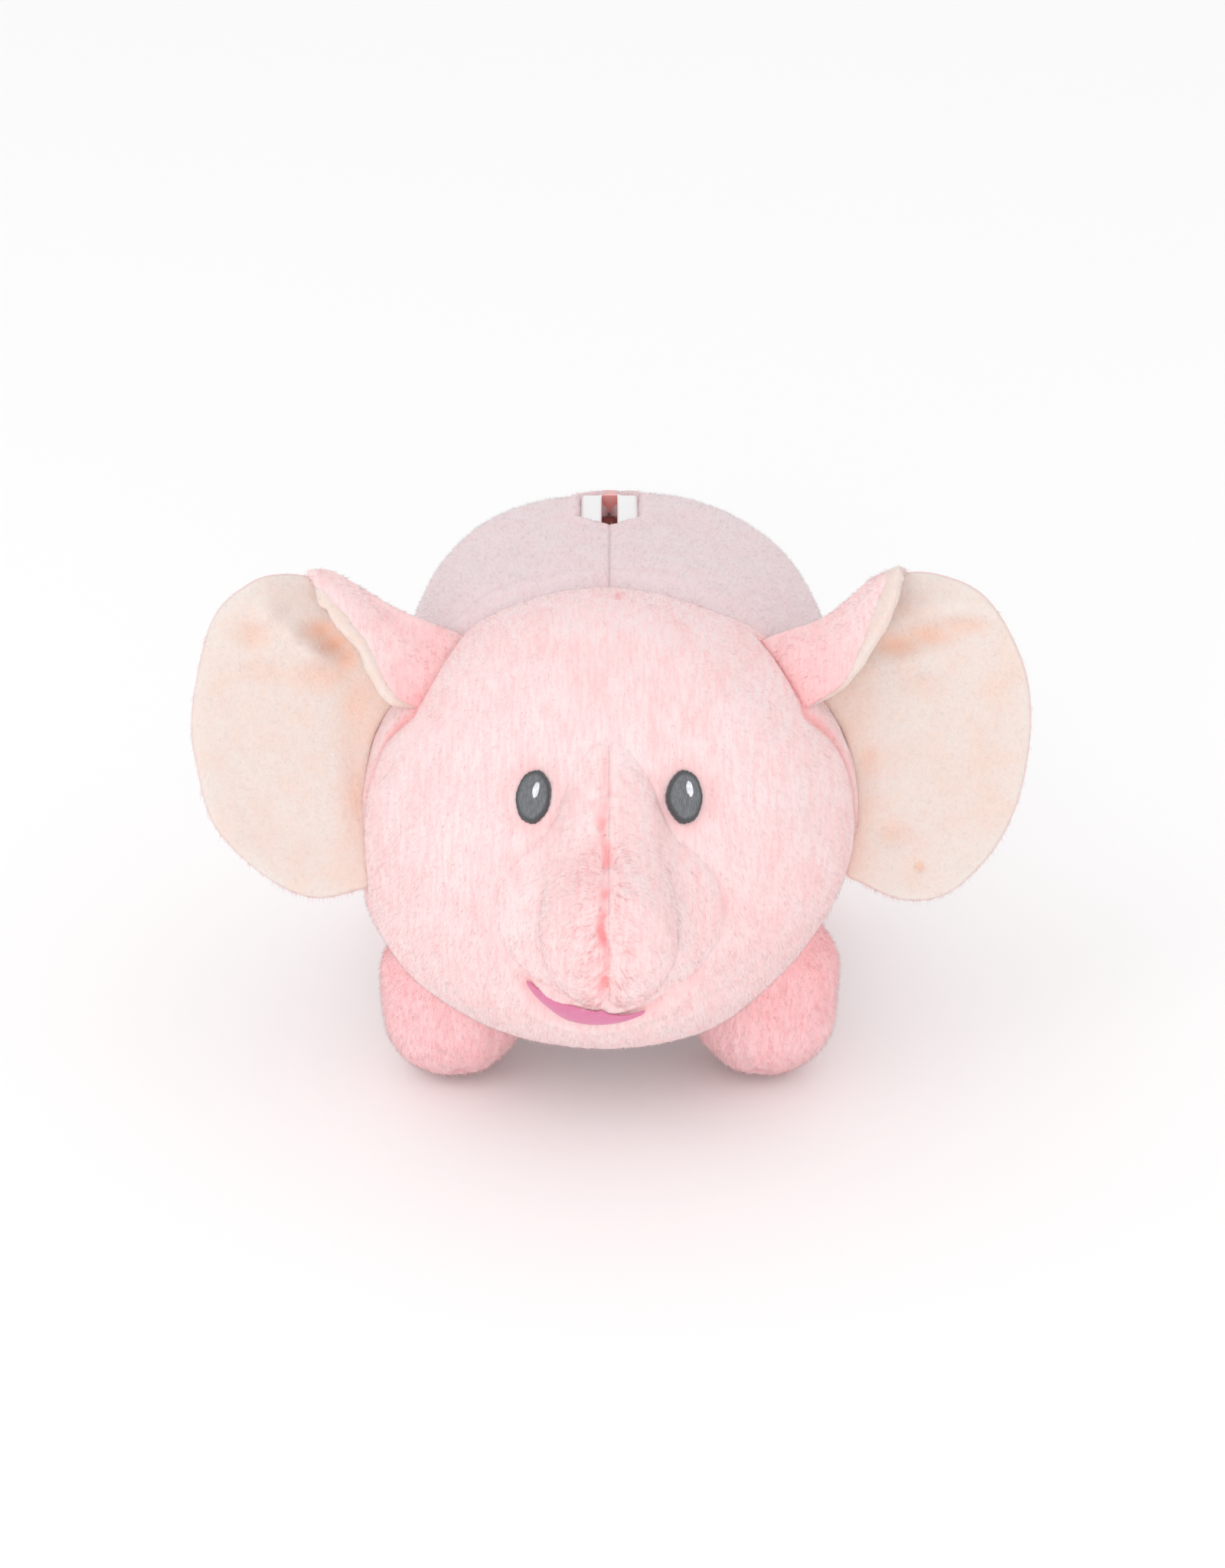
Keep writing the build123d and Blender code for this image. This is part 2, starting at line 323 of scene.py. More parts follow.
def make_mesh(name, points, faces, **attributes):
    """A mesh object from points in millimetres and faces that all have the same size."""
    mesh = bpy.data.meshes.new(name)
    faces = np.asarray(faces, np.int32)
    count, corners = faces.shape
    mesh.vertices.add(len(points))
    set_points(mesh, np.asarray(points))
    mesh.loops.add(count * corners)
    mesh.loops.foreach_set("vertex_index", faces.ravel())
    mesh.polygons.add(count)
    mesh.polygons.foreach_set("loop_start", np.arange(0, count * corners, corners, dtype=np.int32))
    mesh.polygons.foreach_set("use_smooth", np.full(count, True))
    mesh.update(calc_edges=True)
    mesh.validate()
    piece = bpy.data.objects.new(name, mesh)
    for key, values in attributes.items():
        set_attribute(piece, key, values)
    show(piece)
    return piece


def stand_for(piece, material, body, nodes):
    """Gives a piece its material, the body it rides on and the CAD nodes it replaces."""
    piece.data.materials.append(material)
    if body:
        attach(piece, body)
    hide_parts(*nodes)


def points_of(piece):
    co = np.zeros(len(piece.data.vertices) * 3, np.float32)
    piece.data.vertices.foreach_get("co", co)
    return co.reshape(-1, 3).astype(float) / MM


def faces_of(piece):
    """The piece's faces as triangles."""
    piece.data.calc_loop_triangles()
    tri = np.zeros(len(piece.data.loop_triangles) * 3, np.int32)
    piece.data.loop_triangles.foreach_get("vertices", tri)
    return tri.reshape(-1, 3)


def apply_modifiers(piece):
    graph = bpy.context.evaluated_depsgraph_get()
    mesh = bpy.data.meshes.new_from_object(piece.evaluated_get(graph))
    piece.modifiers.clear()
    piece.data = mesh


def keep_side(piece, point, normal):
    """Cuts the piece by a plane, keeps what the normal points to and closes the cut."""
    b = bmesh.new()
    b.from_mesh(piece.data)
    made = bmesh.ops.bisect_plane(b, geom=b.verts[:] + b.edges[:] + b.faces[:],
                                  plane_co=[c * MM for c in point], plane_no=normal,
                                  clear_inner=True)
    edges = [e for e in made["geom_cut"] if isinstance(e, bmesh.types.BMEdge)]
    bmesh.ops.holes_fill(b, edges=edges, sides=0)
    b.to_mesh(piece.data)
    b.free()


# ---- materials

def set_inputs(tree, node, values):
    """Links each value that is a socket, and sets the others on the node's own sockets."""
    for key, value in values.items():
        if hasattr(value, "is_linked"):
            tree.links.new(value, node.inputs[key])
        else:
            node.inputs[key].default_value = value


def add_node(tree, kind, values, **settings):
    node = tree.nodes.new("ShaderNode" + kind)
    for key, value in settings.items():
        setattr(node, key, value)
    set_inputs(tree, node, values)
    return node


def principled(name, roughness, sheen=0, sheen_tint=(1, 1, 1), subsurface=0, specular=0.2):
    material = bpy.data.materials.new(name)
    material.use_nodes = True
    tree = material.node_tree
    shader = tree.nodes["Principled BSDF"]
    set_inputs(tree, shader, {
        "Roughness": roughness, "Sheen Weight": sheen, "Sheen Roughness": 0.5,
        "Sheen Tint": (*sheen_tint, 1), "Specular IOR Level": specular,
        "Subsurface Weight": subsurface, "Subsurface Radius": (1, 0.6, 0.55),
        "Subsurface Scale": 0.003})
    return material, tree, shader


def mix_colours(tree, factor, low, high):
    low, high = ((*c, 1) if isinstance(c, tuple) else c for c in (low, high))
    return add_node(tree, "Mix", {0: factor, 6: low, 7: high}, data_type="RGBA").outputs[2]


def noise_output(tree, scale, detail=4, stretch=(1, 1, 1)):
    place = add_node(tree, "TexCoord", {}).outputs["Object"]
    place = add_node(tree, "Mapping", {"Vector": place, "Scale": stretch}).outputs["Vector"]
    values = {"Vector": place, "Scale": scale, "Detail": detail}
    return add_node(tree, "TexNoise", values).outputs["Fac"]


def attribute_output(tree, name):
    return add_node(tree, "Attribute", {}, attribute_name=name).outputs["Fac"]


def remap(tree, value, low, high, reach=1):
    """Value from low to high becomes 0 to reach."""
    values = {"Value": value, "From Min": low, "From Max": high, "To Max": reach}
    return add_node(tree, "MapRange", values).outputs["Result"]


def paint(tree, shader, colour, height, strength, distance):
    """Gives a shader its colour and a bump."""
    bump = add_node(tree, "Bump", {"Strength": strength, "Distance": distance, "Height": height})
    set_inputs(tree, shader, {"Base Color": colour, "Normal": bump.outputs["Normal"]})


def plush_material(name, pale, middle, deep, sheen, grain=1, stretch=(1, 1, 0.25)):
    """Pile cloth: pale tips over a deeper ground, and each mesh's tone, which holds painted shade
    in places, mixes towards the deep colour.
    """
    material, tree, shader = principled(name, 0.95, sheen, (1, 0.93, 0.93), 0.2)
    fibres = noise_output(tree, 1000, 3, stretch)
    clumps = noise_output(tree, 130, 5, tuple(0.5 + 0.5 * s for s in stretch))
    base = mix_colours(tree, remap(tree, fibres, 0.36, 0.56), middle, pale)
    shaded = mix_colours(tree, remap(tree, clumps, 0.58, 0.36, 0.17), base, deep)
    toned = mix_colours(tree, attribute_output(tree, "tone"), shaded, deep)
    paint(tree, shader, toned, fibres, 0.45 * grain, 0.0007)
    return material


def plain_fur(name, colour):
    """One shade of fibre; the shades differ from piece to piece."""
    material, _, shader = principled(name, 0.85, 0.15, (1, 0.95, 0.95))
    shader.inputs["Base Color"].default_value = (*colour, 1)
    return material


# Pale, middle and deep colours of each cloth, and of the fibres on it
CLOTH_COLOURS = {
    "head": [(0.87, 0.70, 0.70), (0.89, 0.625, 0.63), (0.94, 0.40, 0.41)],
    "leg": [(0.92, 0.635, 0.65), (0.92, 0.545, 0.56), (0.94, 0.34, 0.36)],
    "body": [(0.76, 0.635, 0.65), (0.74, 0.60, 0.62), (0.82, 0.47, 0.49)],
    "cream": [(0.755, 0.685, 0.65), (0.755, 0.66, 0.615), (0.86, 0.52, 0.39)],
}
FUR_COLOURS = {
    "head": [(0.93, 0.74, 0.74), (0.93, 0.65, 0.65), (0.94, 0.48, 0.49)],
    "leg": [(0.97, 0.70, 0.71), (0.97, 0.60, 0.61), (0.95, 0.43, 0.45)],
    "body": [(0.77, 0.65, 0.665), (0.75, 0.61, 0.63), (0.77, 0.54, 0.56)],
    "cream": [(0.77, 0.70, 0.665), (0.77, 0.665, 0.615), (0.83, 0.59, 0.49)],
}
plush_head = plush_material("plush_head", *CLOTH_COLOURS["head"], 0.2, 0.6, (1, 0.14, 0.14))
plush_leg = plush_material("plush_leg", *CLOTH_COLOURS["leg"], 0.2)
plush_body = plush_material("plush_body", *CLOTH_COLOURS["body"], 0.4, 0.8)
velour_cream = plush_material("velour_cream", *CLOTH_COLOURS["cream"], 0.4, 0.7, (1, 1, 1))
fur_shades = {cloth: [plain_fur(f"fur_{cloth}_{shade}", colour)
                      for shade, colour in zip(("pale", "mid", "deep"), colours)]
              for cloth, colours in FUR_COLOURS.items()}


# ---- fur

def grow_fur(name, body, skin, cloth, density, length, lean, flow, width=0.12, seed=1,
             keep=None, depth=None, ruffle=0.3):
    """Closed tapered fibres on a skin.  Each shade is a piece of its own."""
    rng = np.random.default_rng(seed)
    points, faces = points_of(skin), faces_of(skin)
    a, b, c = points[faces[:, 0]], points[faces[:, 1]], points[faces[:, 2]]
    cross = np.cross(b - a, c - a)
    area = np.linalg.norm(cross, axis=1) / 2
    normal = unit(cross)
    if keep is not None:
        area = area * keep((a + b + c) / 3, normal)
    count = int(area.sum() * density * DETAIL)
    chosen = rng.choice(len(faces), count, p=area / area.sum())
    r, s = np.sqrt(rng.random(count))[:, None], rng.random(count)[:, None]
    root = (1 - r) * a[chosen] + r * (1 - s) * b[chosen] + r * s * c[chosen]
    up = normal[chosen]
    along = (flow(root) if callable(flow) else flow) + rng.normal(0, 0.13, (count, 3))
    along = along + ruffle * np.stack([noise(root / 6, seed + k) for k in range(3)], 1)
    along = unit(along - (along * up).sum(1, keepdims=True) * up)
    size = length(root) if callable(length) else np.full(count, length)
    size = size * rng.uniform(0.6, 1.15, count)
    tilt = np.radians(lean) + rng.normal(0, 0.15, count)
    stem = along * np.cos(tilt)[:, None] + up * np.sin(tilt)[:, None]
    tip = root + stem * size[:, None]
    side = unit(np.cross(stem, up))
    lift = unit(np.cross(side, stem))
    ring = [side, -0.5 * side + 0.87 * lift, -0.5 * side - 0.87 * lift]
    start = root - 0.4 * up
    vertices = np.stack([start + width * v for v in ring] + [tip], 1)
    pattern = np.array([[0, 2, 1], [0, 1, 3], [1, 2, 3], [2, 0, 3]])
    tone = depth(root) if depth is not None else np.zeros(count)
    pick = tone + rng.normal(0, 0.2, count) + 0.3 * noise(root / 5, seed + 9)
    levels = np.digitize(pick, [0.12, 0.62])
    made = []
    for level, material in enumerate(fur_shades[cloth]):
        fibres = vertices[levels == level]
        if not len(fibres):
            continue
        corners = pattern + 4 * np.arange(len(fibres))[:, None, None]
        piece = make_mesh(f"{name}_{level + 1}", fibres.reshape(-1, 3), corners.reshape(-1, 3))
        piece.data.materials.append(material)
        if body is not None:
            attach(piece, body)
        made.append(piece)
    return made


def flow_down_face(p):
    """The head's pile runs from the neck seam over the crown and down the face."""
    q = p - HEAD_CENTRE
    return unit(beside(0.25 * q[:, 0] / 72, -q[:, 2] / 66, q[:, 1] / 72)
                + vec(0, 0, -0.35))


FLOW_BODY = vec(0, 0.75, -0.65)
FLOW_DOWN = vec(0, -0.15, -1)


# ---- head

EYE_SPREAD = 20.5
EYE_HEIGHT = 117.7
EYE_HALF_WIDTH = 4.9
EYE_HALF_HEIGHT = 7.4


def on_head(x, z):
    """The point on the front of the head at that x and z."""
    q = 1 - (x / HEAD_SEMI[0]) ** 2 - ((z - HEAD_CENTRE[2]) / HEAD_SEMI[2]) ** 2
    return vec(x, HEAD_CENTRE[1] - HEAD_SEMI[1] * math.sqrt(max(q, 0)), z)


def to_row(side, uvn):
    """Row points from the ear's own u, v and n, which are the last axis of the array."""
    u, v, n = np.moveaxis(uvn[..., None], -2, 0)
    return EAR_ORIGIN + side * u * X_AXIS + v * NECK_UP + n * NECK_NORMAL


EAR_ROOTS = [to_row(side, np.array([(45, 52, 0), (51, 42, 12), (56, 31, 20), (65, 24, 12),
                                    (70, 8, 8), (70, -6, 6), (66, -18, 6)])) for side in (-1, 1)]
MOUTH_CURVE = np.array([on_head(x, z) for x, z in
                        [(-22.5, 65.5), (-20.2, 60.8), (-17.1, 56.8), (-12.9, 52.4),
                         (-7.6, 50.3), (-2.3, 49.2), (3, 50.7), (8.9, 54.2), (13.6, 56.9),
                         (17.8, 60.4), (24.4, 67.8)]])


def streaks(p, seed, across, along):
    """Noise drawn out along the fall of the pile on the head."""
    q = p - HEAD_CENTRE
    angle = np.arctan2(q[:, 2], -q[:, 1]) * 70
    return fractal(beside(p[:, 0] / across, angle / along, q[:, 1] / 60), seed, 3)


def head_relief(p):
    """How far the head's skin stands off its plain form, and its tone, which holds painted shade in
    creases, grooves and underneath.
    """
    seam = before_neck(p)
    relief = 0.9 * fractal(p / 26, 5, 2) + 0.13 * streaks(p, 11, 1.6, 13)
    relief = relief - 0.9 * bell(seam, 1.8) - 9 * ramp(0.5, 10, -seam)
    trunk = np.abs(trunk_field(p))
    pucker = 0.6 + 0.4 * noise(p / 3, 21)
    relief -= 0.6 * bell(trunk, 1.8) * pucker
    dashes = ramp(14, 20, p[:, 0]) + ramp(-28, -34, p[:, 0])
    tone = 0.75 * bell(seam - 1.2, 1.3) * clamp(0.15 + noise(p / 3, 3)) * dashes
    # Painted shade in the crease round the trunk.
    tone = np.maximum(tone, 0.3 * bell(trunk, 1.3) * clamp(0.2 + noise(p / 7, 8)))
    # Painted shade in the creases where the ears meet the head.
    for root in EAR_ROOTS:
        d = line_distance(p, root)
        relief -= 1.6 * bell(d, 3.5)
        tone = np.maximum(tone, 0.85 * bell(d, 2.6))
    mouth = line_distance(p, MOUTH_CURVE)
    relief = relief + 0.9 * bell(mouth - 4.5, 2.6) - 0.9 * bell(mouth, 2.2)
    # Painted shade in the groove of the mouth.
    tone = np.maximum(tone, 0.35 * bell(mouth, 2.5) * clamp(0.5 + noise(p / 2.5, 4)))
    for side in (-1, 1):
        eye = away(p, on_head(side * EYE_SPREAD, EYE_HEIGHT))
        relief -= 0.7 * bell(eye, 8)
        tone = np.maximum(tone, 0.22 * bell(eye - 8.5, 2.5))
    # Painted shade: the tone deepens towards the underside of the head; the streaks added with it
    # are the pile's own.
    under = ramp(0.15, 0.9, -(p[:, 2] - HEAD_CENTRE[2]) / HEAD_SEMI[2])
    tone = tone + 0.10 * under + 0.07 * clamp(streaks(p, 31, 2.2, 14))
    dart = line_distance(p, np.array([[3, -6, 149.5], [2.3, -14, 150]]))
    tone = np.maximum(tone, 0.6 * bell(dart, 1.3))
    relief -= 0.8 * bell(dart, 1.6)
    tone = tone + 0.10 * bell(p[:, 2] - 74, 20) - 0.14 * ramp(56, 38, p[:, 2])
    return relief, clamp(tone)


def head_sway(p):
    """The jaw hangs a little to the elephant's right."""
    away = ramp(28, 52, np.abs(p[:, 0]))
    return -4 * ramp(84, 54, p[:, 2]) * (0.35 + 0.65 * away)


def make_head():
    base, points, tone, faces = skin_round(head_field, HEAD_CENTRE, 90, int(118 * DETAIL),
                                           head_relief)
    points[:, 0] += head_sway(base)
    piece = make_mesh("head_plush", points, faces, tone=tone)
    stand_for(piece, plush_head, "bank", ["head_skin", "head_stuffing"])
    return piece


def head_open(p, normal):
    """Where the head's own fur shows: not under the body, trunk, eyes or mouth."""
    seam = before_neck(p)
    shown = (seam > -4) & (trunk_field(p) > 0.3)
    for side in (-1, 1):
        q = p - on_head(side * EYE_SPREAD, EYE_HEIGHT)
        oval = (q[:, 0] / (EYE_HALF_WIDTH + 1)) ** 2
        oval += (np.hypot(q[:, 1], q[:, 2]) / (EYE_HALF_HEIGHT + 3.4)) ** 2
        shown &= oval > 1
    mouth = line_distance(p, MOUTH_CURVE)
    shown &= (mouth > 1.2) | (p[:, 2] < 50)
    return shown


# ---- trunk

def trunk_seed_mesh():
    """A rough closed trunk from balls and cones, before it is moved onto its exact form."""
    b = bmesh.new()
    for ends in (((BROW, BROW_RADIUS), (TRUNK_TIP, TRUNK_TIP_RADIUS)),
                 ((CHIN, CHIN_RADIUS), (TRUNK_TIP, TRUNK_TIP_RADIUS))):
        hull = bmesh.new()
        for centre, radius in ends:
            ball = bmesh.ops.create_icosphere(hull, subdivisions=4, radius=float(radius * MM))
            bmesh.ops.translate(hull, verts=ball["verts"], vec=Vector(centre * MM))
        bmesh.ops.delete(hull, geom=hull.edges[:], context="EDGES_FACES")
        made = bmesh.ops.convex_hull(hull, input=hull.verts[:])
        inner = {g for g in made["geom_interior"] + made["geom_unused"]
                 if isinstance(g, bmesh.types.BMVert)}
        bmesh.ops.delete(hull, geom=list(inner), context="VERTS")
        part = bpy.data.meshes.new("hull")
        hull.to_mesh(part)
        hull.free()
        b.from_mesh(part)
        bpy.data.meshes.remove(part)
    ball = bmesh.ops.create_icosphere(b, subdivisions=4, radius=MM)
    bmesh.ops.scale(b, verts=ball["verts"], vec=Vector(MUZZLE_SEMI))
    bmesh.ops.translate(b, verts=ball["verts"], vec=Vector(MUZZLE_CENTRE * MM))
    mesh = bpy.data.meshes.new("trunk_seed")
    b.to_mesh(mesh)
    b.free()
    piece = bpy.data.objects.new("trunk_seed", mesh)
    show(piece)
    remesh = piece.modifiers.new("voxels", "REMESH")
    remesh.mode = "VOXEL"
    remesh.voxel_size = 0.00105 / DETAIL
    apply_modifiers(piece)
    for polygon in piece.data.polygons:
        polygon.use_smooth = True
    return piece


def trunk_seam_depth(p):
    """How open the centre seam is along the front of the trunk."""
    from_tip = p[:, 2]
    on_top = ramp(96, 104, from_tip) * ramp(131, 120, from_tip)
    on_tip = ramp(72, 78, from_tip) * ramp(108, 98, from_tip)
    return 0.75 * on_top + 1 * on_tip + 0.25


def seam_wander(p):
    return 1.3 * fractal(beside(p[:, 2] / 8, p[:, 1] / 14, p[:, 0] * 0), 41, 2) - 0.8


def trunk_front(p):
    return ramp(-96, -106, p[:, 1]) * ramp(70, 78, p[:, 2])


def trunk_relief(p):
    x = p[:, 0] - seam_wander(p)
    open_seam = trunk_seam_depth(p)
    tip = bell(away(p, TRUNK_TIP + [-6, -12, 3]), 15)
    fall = p[:, 2] + 0.8 * np.abs(p[:, 0])
    radial = noise(beside(fall / 1.6, p[:, 1] / 3, p[:, 0] / 4), 51)
    relief = 0.35 * fractal(p / 13, 61, 2)
    relief += 0.12 * fractal(p / vec(2, 5, 5), 63, 2)
    relief -= (1.5 * bell(x, 1.5) + 0.5 * bell(x, 5)) * open_seam
    relief += 0.6 * radial * bell(x, 6) * open_seam
    swirl = fractal(p / vec(2.6, 4, 2.6), 71, 3)
    relief += 0.75 * swirl * tip
    tuft = away(p, vec(10.5, -122, 80))
    relief += 1 * bell(tuft, 3.5) * (1 + swirl)
    broken = clamp(0.55 + 0.9 * noise(beside(p[:, 2] / 2.4, p[:, 1] / 5, x / 9), 5))
    tone = 0.95 * bell(x, 1.5) * open_seam * broken
    tone = np.maximum(tone, 0.55 * clamp(-radial) * bell(x, 5) * open_seam)
    curls = bell(swirl, 0.13) * clamp(0.4 + noise(p / 5, 7))
    tone = np.maximum(tone, 0.75 * curls * tip)
    furry = trunk_front(p) * bell(x + 2, 7)
    tone = np.maximum(tone, furry * (0.20 + 0.2 * clamp(swirl)))
    tone = np.maximum(tone, 0.35 * bell(tuft - 3.2, 1) * clamp(0.3 + swirl))
    tone += 0.06 * ramp(72, 60, p[:, 2])
    return relief, clamp(tone)


def make_trunk():
    whole = trunk_seed_mesh()
    finer = whole.modifiers.new("finer", "SUBSURF")
    finer.levels = finer.render_levels = 1
    apply_modifiers(whole)
    base = settle(trunk_field, points_of(whole))
    normal = unit(gradient(trunk_field, base))
    relief, tone = trunk_relief(base)
    # Painted shade: the trunk's sides, facing sideways, are deeper pink.
    tone = clamp(tone + 0.10 * ramp(0.45, 0.95, np.abs(normal[:, 0])))
    set_points(whole.data, base + normal * relief[:, None])
    set_attribute(whole, "tone", tone)
    whole.data.update()
    halves = []
    for name, side in (("trunk_left_half", 1), ("trunk_right_half", -1)):
        half = whole.copy()
        half.data = whole.data.copy()
        half.name = name + "_plush"
        show(half)
        keep_side(half, (0, 0, 0), (side, 0, 0))
        nodes = [name, "trunk_stuffing"] if side == 1 else [name]
        stand_for(half, plush_head, "bank", nodes)
        halves.append(half)
    bpy.data.objects.remove(whole)
    return halves


def flow_trunk(p):
    """On the trunk the pile runs away from the centre seam and towards the tip."""
    out = np.sign(p[:, 0])[:, None] * X_AXIS * (0.4 + 0.8 * bell(p[:, 0], 9))[:, None]
    return out + vec(0, -0.55, -0.65)


def flow_seam(p):
    """Beside the centre seam the longest hairs lie outward and down."""
    return np.sign(p[:, 0])[:, None] * X_AXIS + vec(0, -0.15, -0.55)


def near_seam(p, normal):
    return trunk_open(p, normal) * trunk_front(p) * bell(p[:, 0] + 2, 6)


def trunk_open(p, normal):
    return (head_field(p) > -0.5) & (np.abs(normal[:, 0]) < 0.999)


# ---- body

def slot_distance(p):
    """How far each point is outside the cloth's pointed opening round the coin slot, in plan."""
    from_front = (p[:, 1] - (SLOT_CENTRE[1] - 13.5)) / 6
    from_back = (SLOT_CENTRE[1] + 20 - p[:, 1]) / 9
    inside = clamp(np.minimum(from_front, from_back))
    half_width = (SLOT_HALF_WIDTH - 0.3) * inside ** 0.6
    outside = np.maximum(-np.minimum(from_front, from_back), 0) * 6
    d = np.abs(p[:, 0]) - half_width + outside
    return np.where(p[:, 2] > BODY_CENTRE[2], d, 99)


def drain_distance(p):
    d = np.hypot(p[:, 0], p[:, 1] - SLOT_CENTRE[1]) - 22
    return np.where(p[:, 2] < BODY_CENTRE[2], d, 99)


def body_relief(p):
    seam = -before_neck(p)
    above = ramp(100, 130, p[:, 2])
    relief = 0.8 * fractal(p / 30, 105, 2) + 0.12 * fractal(p / vec(2.5, 7, 7), 111, 2)
    relief = relief - 0.7 * bell(seam - 0.5, 2) - 4 * ramp(0, 9, -seam)
    spine = np.abs(p[:, 0] - 0.8 * noise(p / 12, 13))
    relief -= (0.15 * bell(spine, 1.2) + 0.35 * bell(spine, 6)) * above
    slot = slot_distance(p)
    relief = relief + 1.3 * bell(slot - 1.5, 3.5) - 6.5 * ramp(0.4, -1.4, slot)
    notch = bell(p[:, 0], 2.2) * bell(p[:, 1] - (SLOT_CENTRE[1] - 15), 5)
    relief -= 0.4 * notch * above
    wrinkle = noise(beside(p[:, 0] / 22, p[:, 1] / 6, p[:, 2] / 22), 17)
    relief += 0.45 * wrinkle * above * ramp(70, 0, p[:, 1])
    drain = drain_distance(p)
    relief -= 9 * ramp(1, -2, drain)
    tone = 0.30 * bell(seam, 1.2) * clamp(0.4 + noise(p / 4, 3))
    tone = np.maximum(tone, 0.22 * bell(spine, 0.9) * above)
    # Painted shade at the lip of the slot's opening and in the notch before it.
    tone = np.maximum(tone, 0.25 * bell(slot, 1.2) + 0.3 * notch * above)
    # Painted shade: deeper towards the underside.
    tone += 0.10 * ramp(70, 30, p[:, 2])
    return relief, clamp(tone)


def make_body():
    base, points, tone, faces = skin_round(body_field, BODY_CENTRE, 240, 2 * int(52 * DETAIL),
                                           body_relief)
    points[:, 0] += BODY_SWAY * ramp(152, 122, base[:, 2]) * ramp(0, 45, base[:, 1])
    middle = base[faces].mean(1)
    seam = -before_neck(middle)
    kept = (seam > -14) & (slot_distance(middle) > -2.6) & (drain_distance(middle) > -2.5)
    panels = {}
    for name, side in (("body_left_panel", 1), ("body_right_panel", -1)):
        mine = faces[kept & (side * middle[:, 0] > 0)]
        used, index = np.unique(mine, return_inverse=True)
        piece = make_mesh(name + "_plush", points[used], index.reshape(mine.shape),
                          tone=tone[used])
        cloth = piece.modifiers.new("cloth", "SOLIDIFY")
        cloth.thickness = 0.0022
        cloth.offset = -1
        apply_modifiers(piece)
        nodes = [name, "body_stuffing", "belly_panel"] if side == 1 else [name]
        stand_for(piece, plush_body, "bank", nodes)
        panels[side] = piece
    return panels


def body_open(p, normal):
    seam = -before_neck(p)
    outward = (normal * (p - BODY_CENTRE)).sum(1) > 0
    clear = (slot_distance(p) > 0) & (drain_distance(p) > 0.5) & (p[:, 1] < 112)
    return (seam > -8) & clear & outward


# ---- legs

def make_leg(name, side, y, seed):
    centre = vec(side * LEG_SPREAD, y, 0)

    def relief_of(p):
        above_floor = ramp(0.5, 5, p[:, 2])
        dimple = away(p, centre + [side * -2, -LEG_RADIUS + 6, 6])
        relief = 0.7 * fractal(p / 15, seed, 2) * above_floor
        relief += 0.25 * fractal(p / vec(1.8, 1.8, 6), seed + 3, 2) * above_floor
        relief -= 1.4 * bell(dimple, 3)
        # Painted shade: deeper towards the top, under the body, and in the dimple.
        tone = np.maximum(0.10 + 0.25 * ramp(18, 46, p[:, 2]), 0.55 * bell(dimple, 2.2))
        return relief, clamp(tone + 0.14 * fractal(p / vec(5, 5, 12), seed + 7, 2))

    _, points, tone, faces = skin_round(lambda p: leg_field(p, centre), centre + vec(0, 0, 27),
                                        60, int(62 * DETAIL), relief_of)
    piece = make_mesh(name + "_plush", points, faces, tone=tone)
    stand_for(piece, plush_leg, "bank", [name + "_skin", name + "_stuffing"])

    def shown(p, normal):
        return (body_field(p) > -1) & (head_field(p) > -1) & (p[:, 2] > 2.5)

    def depth(p):
        # Painted shade towards the top, as on the skin.
        return 0.10 + 0.25 * ramp(22, 46, p[:, 2]) + 0.2 * noise(p / 9, seed + 2)

    grow_fur(name + "_fur", "bank", piece, "leg", 1.8, 2.2, 32, FLOW_DOWN,
             width=0.07, seed=seed, keep=shown, depth=depth)


# ---- ears

EAR_RINGS, EAR_SPOKES = int(64 * DETAIL), int(260 * DETAIL)
EAR_ROWS, EAR_COLUMNS = int(90 * DETAIL), int(60 * DETAIL)
EAR_OUTLINES = {
    -1: [(47, 49.5), (60.4, 56.3), (71.2, 62.4), (80, 67), (92.5, 69.4), (102.5, 66.8),
         (113.2, 55.8), (119.2, 30.5), (117.9, 14), (112.8, -2.6), (100, -15.4), (85.4, -22.4),
         (72, -20.3), (66.5, -17), (69, -5), (70, 8), (67, 24), (57, 38)],
    1: [(51, 48), (60, 53.2), (68, 58.5), (75.5, 65), (82, 69.2), (93.5, 69.4), (106.5, 63.4),
        (116.6, 47.6), (120.3, 31.2), (118.2, 9.5), (111.6, -6.6), (101, -18.4), (92.3, -22.8),
        (82.4, -22.8), (72.5, -18.5), (67.5, -15), (69, -5), (70, 8), (67, 24), (57, 38)],
}
FLAP_TOPS = {
    -1: [(86, 70, 3.5), (79, 68.6, 2.5), (71, 64, 2), (60, 57.6, 1.5), (40, 50, 0.5)],
    1: [(84.5, 71, 3), (75.5, 66.8, 2.5), (68, 60.2, 2), (60, 54.8, 1.5),
        (43.5, 49.6, 0.5)],
}
FLAP_EDGES = {
    -1: [(82.5, 68, 6), (79, 63, 9), (70.6, 52, 14), (63, 39, 18), (54.5, 28, 20.5)],
    1: [(83, 70.6, 5), (79.8, 68, 9), (75.2, 57, 13), (69.5, 45, 17), (56.5, 28, 20)],
}
